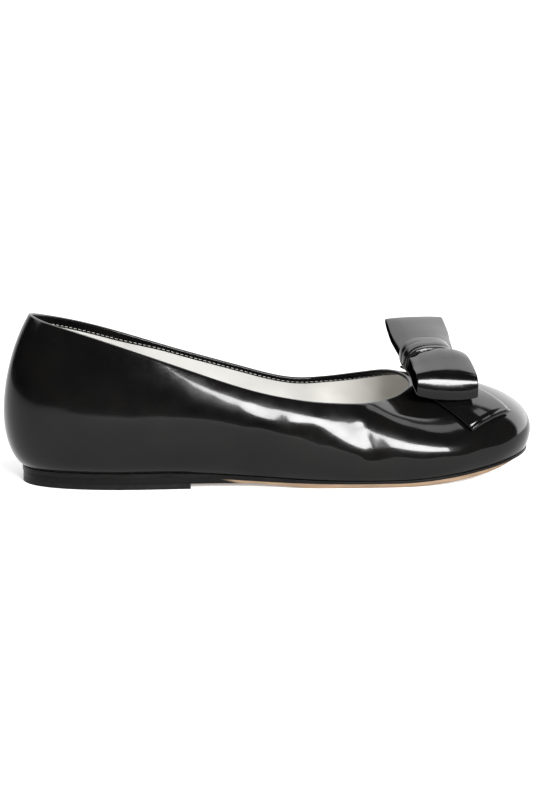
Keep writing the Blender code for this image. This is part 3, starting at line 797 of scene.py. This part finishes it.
class BowSeat:
    """The middle of the bow on the vamp, and directions to the toe, to the inner side and up."""

    def __init__(self, rows):
        bm = loft(rows)
        bmesh.ops.recalc_face_normals(bm, faces=bm.faces)
        bm.faces.ensure_lookup_table()
        if max(bm.faces, key=lambda face: face.calc_center_median().x).normal.x < 0:
            bmesh.ops.reverse_faces(bm, faces=bm.faces)
        self.outside = BVHTree.FromBMesh(bm)
        bm.free()
        above = Vector((LENGTH - BOW_FROM_TOE, BOW_ASIDE, 2 * BACK_HEIGHT))
        self.middle, self.normal, _, _ = self.outside.ray_cast(above, Vector((0, 0, -1)))
        forward = Vector((math.cos(BOW_YAW), math.sin(BOW_YAW), 0.0))
        self.forward = (forward - self.normal * forward.dot(self.normal)).normalized()
        self.level = self.normal.cross(self.forward)
        self.across = (self.level * math.cos(BOW_ROLL) + self.normal * math.sin(BOW_ROLL)).normalized()
        self.up = self.forward.cross(self.across)

    def place(self, forward, across, up):
        return self.middle + self.forward * forward + self.across * across + self.up * up

    def drape(self, forward, across, height):
        """The point at this height over the vamp, that far along it from under the knot."""
        point, normal = self.middle, self.normal
        heading = self.forward * forward + self.level * across
        stride = heading.length / DRAPE_STRIDES
        for _ in range(DRAPE_STRIDES):
            heading = (heading - normal * heading.dot(normal)).normalized()
            point, normal, _, _ = self.outside.find_nearest(point + heading * stride)
        return point + normal * height


seat = BowSeat(outer_rows)
print("bow seated at mm:", [round(1000 * value, 1) for value in seat.middle])

# %% The two loops
# Each row is a point round the loop from the knot and back, on the ribbon's heel edge, middle and toe edge,
# as shares of LOOP_REACH and LOOP_HEIGHT.
LoopPoint = namedtuple("LoopPoint", "heel_reach heel_rise mid_reach mid_rise toe_reach toe_rise")
OUTER_LOOP = [
    LoopPoint(0.245, 0.430, 0.245, 0.380, 0.245, 0.410),
    LoopPoint(0.390, 0.375, 0.425, 0.270, 0.445, 0.330),
    LoopPoint(0.590, 0.325, 0.660, 0.205, 0.700, 0.280),
    LoopPoint(0.805, 0.270, 0.870, 0.185, 0.930, 0.260),
    LoopPoint(0.865, 0.300, 0.919, 0.245, 0.985, 0.315),
    LoopPoint(0.850, 0.420, 0.895, 0.405, 0.972, 0.420),
    LoopPoint(0.820, 0.545, 0.853, 0.538, 0.945, 0.545),
    LoopPoint(0.775, 0.660, 0.803, 0.660, 0.905, 0.660),
    LoopPoint(0.715, 0.745, 0.739, 0.763, 0.845, 0.755),
    LoopPoint(0.625, 0.775, 0.645, 0.838, 0.745, 0.820),
    LoopPoint(0.480, 0.785, 0.484, 0.940, 0.560, 0.890),
    LoopPoint(0.310, 0.800, 0.303, 1.000, 0.335, 0.940),
    LoopPoint(0.240, 0.640, 0.240, 0.700, 0.240, 0.650),
]
INNER_LOOP = [
    LoopPoint(0.245, 0.410, 0.245, 0.390, 0.245, 0.410),
    LoopPoint(0.410, 0.465, 0.420, 0.395, 0.420, 0.430),
    LoopPoint(0.600, 0.545, 0.630, 0.460, 0.615, 0.510),
    LoopPoint(0.800, 0.650, 0.840, 0.570, 0.820, 0.620),
    LoopPoint(0.930, 0.745, 0.970, 0.690, 0.950, 0.730),
    LoopPoint(0.985, 0.855, 1.000, 0.845, 0.985, 0.880),
    LoopPoint(0.920, 0.940, 0.920, 0.965, 0.930, 0.965),
    LoopPoint(0.680, 0.835, 0.680, 0.950, 0.695, 0.890),
    LoopPoint(0.460, 0.730, 0.460, 0.920, 0.485, 0.800),
    LoopPoint(0.290, 0.655, 0.290, 0.840, 0.305, 0.690),
    LoopPoint(0.240, 0.540, 0.240, 0.610, 0.240, 0.545),
]
ROUND_LOOP = 96
ROUND_RIBBON = 44
RIBBON_SQUARE = 0.42
RIBBON_ROUND = 0.75
RIBBON_EDGE = 0.55
GATHER_START = 0.2
GATHER_RUN = 0.45
FOLD_DEPTH = 0.35 * MM
FOLD_TURNS = 17
FOLD_SLANT = 0.45
FOLD_SHIFT = 0.8
FOLDS_FROM = 0.35
FOLDS_RUN = 1.1
TUCK = 3.0 * MM
TUCK_START = 0.45
TUCK_RUN = 0.2


def ribbon_section():
    """Shares of half width and of half thickness round the ribbon: flat faces and round edges."""
    turns = np.arange(ROUND_RIBBON) * math.tau / ROUND_RIBBON
    wide = np.sign(np.cos(turns)) * np.abs(np.cos(turns)) ** RIBBON_SQUARE
    thick = np.sign(np.sin(turns)) * np.abs(np.sin(turns)) ** RIBBON_ROUND
    return wide, thick


def loop_line(table, edge):
    """Reach and height, in metres, of one line round the loop: its heel edge, middle or toe edge."""
    reach = round_spline([getattr(row, edge + "_reach") for row in table], ROUND_LOOP)
    rise = round_spline([getattr(row, edge + "_rise") for row in table], ROUND_LOOP)
    return np.stack([reach * LOOP_REACH, rise * LOOP_HEIGHT], axis=1)


def loop_face(table, share, inset):
    """Reach and height of a loop's face at this share across the ribbon, moved in by inset."""
    heel, middle, toe = (loop_line(table, edge) for edge in ("heel", "mid", "toe"))
    line = middle + share * (toe - heel) / 2 + share * share * ((toe + heel) / 2 - middle)
    tangent = unit(np.roll(line, -1, axis=0) - np.roll(line, 1, axis=0))
    facing = np.stack([tangent[:, 1], -tangent[:, 0]], axis=1)
    reach = line[:, 0] / LOOP_REACH
    gathered = 1.0 - smooth_step((reach - GATHER_START) / GATHER_RUN)
    heelward = smooth_step((FOLDS_FROM - share) / FOLDS_RUN)
    ripple = np.cos(FOLD_TURNS * (share - FOLD_SLANT * reach) + FOLD_SHIFT)
    folds = FOLD_DEPTH * gathered * heelward * ripple * (1 - share**4)
    line = line - facing * (inset - folds)[:, None]
    line[:, 0] -= TUCK * smooth_step((TUCK_START - reach) / TUCK_RUN)
    return line, gathered


def make_loop(name, node, side, table):
    rows = []
    for share, thick in zip(*ribbon_section()):
        crown = RIBBON_EDGE + (1 - RIBBON_EDGE) * (1 - share * share)
        line, gathered = loop_face(table, share, RIBBON_THICKNESS / 2 * (1 - thick * crown))
        forward = (LOOP_WIDTH - (LOOP_WIDTH - LOOP_WAIST) * gathered) / 2 * share
        rows.append([seat.place(f, side * reach, rise) for f, (reach, rise) in zip(forward, line)])
    make_piece(name, loft(rows, rows_close=True), bow_finish, [node])


make_loop("bow_loop_near", "bow_loop_outer", -1, OUTER_LOOP)
make_loop("bow_loop_far", "bow_loop_inner", 1, INNER_LOOP)

# %% The pleated band
# A pleat runs between two neighbouring valleys, which are shares of half the band's width, and the last one
# lies past the band's edge. Towards the heel the valleys close up, and a shallow fold marks the wider pleat.
VALLEYS = (-0.92, -0.43, 1.02)
VALLEYS_AT_HEEL = (-1.02, -0.72, 1.02)
PLEAT_DEPTH = 1.0 * MM
PLEAT_LEVEL = 0.8
HEELWARD_START = 0.3
HEELWARD_RUN = 1.3
HEEL_FOLD = 0.30
HEEL_FOLD_AT = 0.1
HEEL_FOLD_WIDTH = 0.10
WIDE_PLEAT = 0.9
NARROW_STANDS = 0.7
BAND_ROWS = 73
ROUND_BAND = 120
BAND_SQUARE = 0.72
BAND_ROUND = 0.80
BAND_ENDS_IN = 0.05


def pleat_height(along, turn):
    """How far a pleat stands over its valleys, as a share of its depth."""
    heelward = float(smooth_step((HEELWARD_START - math.cos(turn)) / HEELWARD_RUN))
    valleys = [over + (end - over) * heelward for over, end in zip(VALLEYS, VALLEYS_AT_HEEL)]
    for low, high in zip(valleys, valleys[1:]):
        if low <= along < high:
            round_over = 1 - abs(2 * (along - low) / (high - low) - 1) ** 4
            stands = NARROW_STANDS + (1 - NARROW_STANDS) * min((high - low) / WIDE_PLEAT, 1)
            fold = HEEL_FOLD * heelward * math.exp(-(((along - HEEL_FOLD_AT) / HEEL_FOLD_WIDTH) ** 2))
            return round_over * stands - fold
    return 0.0


def make_band():
    low = TAIL_THICKNESS + TAIL_CLEARANCE + CLEARANCE
    rows = []
    for along in np.linspace(-1, 1, BAND_ROWS):
        ends = 1.0 - BAND_ENDS_IN * abs(along) ** 12
        row = []
        for k in range(ROUND_BAND):
            turn = math.tau * k / ROUND_BAND
            c, s = math.cos(turn), math.sin(turn)
            stand = PLEAT_DEPTH * (pleat_height(along, turn) - PLEAT_LEVEL)
            forward = math.copysign(abs(c) ** BAND_SQUARE, c) * (KNOT_LENGTH / 2 + stand) * ends
            up = math.copysign(abs(s) ** BAND_ROUND, s) * (KNOT_DEPTH / 2 + stand) * ends
            height = low + KNOT_DEPTH / 2 + max(up, -KNOT_DEPTH / 2)
            row.append(seat.place(forward - KNOT_SET_BACK, along * KNOT_WIDTH / 2, height))
        rows.append(row)
    bm = loft(rows)
    close_ends(bm)
    make_piece("bow_band", bm, bow_finish, ["bow_knot"])


make_band()

# %% The two tails
# Root and end are each the toe edge and the heel edge, as shares of TAIL_LENGTH along the vamp and aside.
TAIL_ROOT = np.array([(0.225, 0.010), (-0.2125, 0.400)])
TAIL_END = np.array([(0.815, 0.680), (0.250, 0.985)])
TAIL_ROWS = 56
TAIL_EDGE = 0.62
TAIL_CROWN = 0.28
SWELL = 1.3 * MM
ROLL_HEIGHT = 0.5 * MM
ROLL_AT = -0.80
ROLL_WIDTH = 0.16
HEM = 0.94
HEM_DEPTH = 0.4 * MM
HEM_WIDTH = 0.010
END_ROUND = 0.03
END_LEAST = 0.04


def make_tail(name, node, side):
    """A tail as rings of the ribbon's section, from under the band to its turned end."""
    wide, thick = ribbon_section()
    rows = []
    for along in np.linspace(0, 1, TAIL_ROWS):
        toe_edge, heel_edge = (TAIL_ROOT + (TAIL_END - TAIL_ROOT) * along) * TAIL_LENGTH
        past = max(along - (1 - END_ROUND), 0) / END_ROUND
        end_round = math.sqrt(max(1 - past**2, END_LEAST))
        row = []
        for share, t in zip(wide, thick):
            forward, outwards = toe_edge + (heel_edge - toe_edge) * (0.5 + 0.5 * share)
            crown = TAIL_EDGE + TAIL_CROWN * (1 - share * share)
            height = TAIL_CLEARANCE + TAIL_THICKNESS / 2 * (1 + t * crown * end_round)
            if t > 0:
                rolled = ROLL_HEIGHT * math.exp(-(((share - ROLL_AT) / ROLL_WIDTH) ** 2))
                height += t * (SWELL * (1 - share * share) + rolled)
                height -= HEM_DEPTH * math.exp(-(((along - HEM) / HEM_WIDTH) ** 2))
            row.append(seat.drape(forward, side * outwards, height))
        rows.append(row)
    bm = loft(rows)
    close_ends(bm)
    make_piece(name, bm, bow_finish, [node])


make_tail("bow_tail_near", "bow_tail_outer", -1)
make_tail("bow_tail_far", "bow_tail_inner", 1)

# %% [markdown]
# ## Studio
# Polished black shows little of its own colour, so the studio makes the picture: a white backdrop behind that
# the tops mirror, a dark room on the camera's side, a pale table lit from below that the lower wall mirrors,
# one long narrow softbox that draws the streak along the side, and a small panel high up for the glint on the
# tail. The world could be one even grey, but then the leather would mirror it everywhere and look matt.

# %% Floor, a pale table with a little light of its own
TABLE_RADIUS = 40.0
TABLE_GLOW = 0.3
floor_mesh = bmesh.new()
bmesh.ops.create_circle(floor_mesh, cap_ends=True, segments=96, radius=TABLE_RADIUS)
floor_data = bpy.data.meshes.new("floor")
floor_mesh.to_mesh(floor_data)
floor_mesh.free()
floor = bpy.data.objects.new("floor", floor_data)
bpy.context.scene.collection.objects.link(floor)
table = Finish("pale_floor", Roughness=0.9, Specular_IOR_Level=0.0, Emission_Color=(1, 1, 1, 1),
               Emission_Strength=TABLE_GLOW)
table.set(Base_Color=table.coloured(table.noise(3), (0.94, 0.94, 0.94), (0.95, 0.95, 0.95)))
floor_data.materials.append(table.material)

# %% Light all round
# What the shoe mirrors is dark towards the camera, brightest overhead and just past the sides, and dimmer
# straight behind. SKY gives that by how far back a direction points. Low directions past the heel stay dark
# as well. All other light is an even white.
SKY = ((0.045, 0.003), (0.125, 1.0), (0.63, 0.60), (1.00, 0.12))
SKY_STARTS = -0.1
SKY_STRENGTH = 9.0
HEELWARD_DARK = (-0.70, -0.30)
HIGH = (0.45, 0.75)
EVEN_LIGHT = 1.05

world = bpy.data.worlds.new("studio")
bpy.context.scene.world = world
world.use_nodes = True
world.node_tree.nodes.clear()
room = Wiring(world.node_tree)
direction = room.split(room.nodes.new("ShaderNodeTexCoord").outputs["Generated"])
back_share_of_sky = room.ranged(direction["Y"], 0.0, 1.0, SKY_STARTS, 1.0)
mirrored = room.nodes.new("ShaderNodeBackground")
room.put(mirrored.inputs["Color"], room.ramp(back_share_of_sky, [(stop, (glow,) * 3) for stop, glow in SKY]))
lit = room.math("MAXIMUM", room.ranged(direction["X"], 0.0, 1.0, *HEELWARD_DARK),
                room.ranged(direction["Z"], 0.0, 1.0, *HIGH))
room.put(mirrored.inputs["Strength"], room.math("MULTIPLY", lit, SKY_STRENGTH))
even = room.nodes.new("ShaderNodeBackground")
even.inputs["Strength"].default_value = EVEN_LIGHT
chosen = room.nodes.new("ShaderNodeMixShader")
room.put(chosen.inputs["Fac"], room.nodes.new("ShaderNodeLightPath").outputs["Is Glossy Ray"])
room.put(chosen.inputs[1], even.outputs[0])
room.put(chosen.inputs[2], mirrored.outputs[0])
room.put(room.nodes.new("ShaderNodeOutputWorld").inputs["Surface"], chosen.outputs[0])


# %% Softboxes
def softbox(name, position, target, size, power):
    light = bpy.data.lights.new(name, "AREA")
    light.shape = "RECTANGLE"
    light.size, light.size_y = size
    light.energy = power
    lamp = bpy.data.objects.new(name, light)
    bpy.context.scene.collection.objects.link(lamp)
    lamp.location = position
    lamp.rotation_euler = (Vector(target) - Vector(position)).to_track_quat("-Z", "Y").to_euler()


softbox("strip", (0.745, -2.208, 0.93), (0.0, 0.0, 0.03), (1.19, 0.45), 118)
softbox("panel", (1.14, -0.64, 2.22), (0.09, -0.03, 0.03), (0.60, 0.40), 5)

# %% Camera, as the photograph was taken
# It stands 1 m away, a little to the heel of square on and a little above the shoe.
TURN = math.radians(-7)
RISE = math.radians(11)
FAR = 1.0
METRES_PER_PIXEL = 0.4625e-3
PICTURE_HEIGHT = 800
SENSOR = 36
AIM_HEIGHT = 35 * MM
AIM_LEFT = 1.85 * MM
AIM_DOWN = 0.6 * MM
away = Vector((math.sin(TURN) * math.cos(RISE), -math.cos(TURN) * math.cos(RISE), math.sin(RISE)))
right = Vector((math.cos(TURN), math.sin(TURN), 0))
aim = Vector((0, 0, AIM_HEIGHT)) - right * AIM_LEFT - away.cross(right) * AIM_DOWN
camera_data = bpy.data.cameras.new("camera")
camera_data.sensor_width = SENSOR
camera_data.lens = SENSOR * FAR / (PICTURE_HEIGHT * METRES_PER_PIXEL)
camera_data.clip_end = 200
camera = bpy.data.objects.new("camera", camera_data)
bpy.context.scene.collection.objects.link(camera)
camera.location = aim + away * FAR
camera.rotation_euler = (-away).to_track_quat("-Z", "Y").to_euler()
bpy.context.scene.camera = camera
bpy.context.scene.view_settings.view_transform = "Standard"
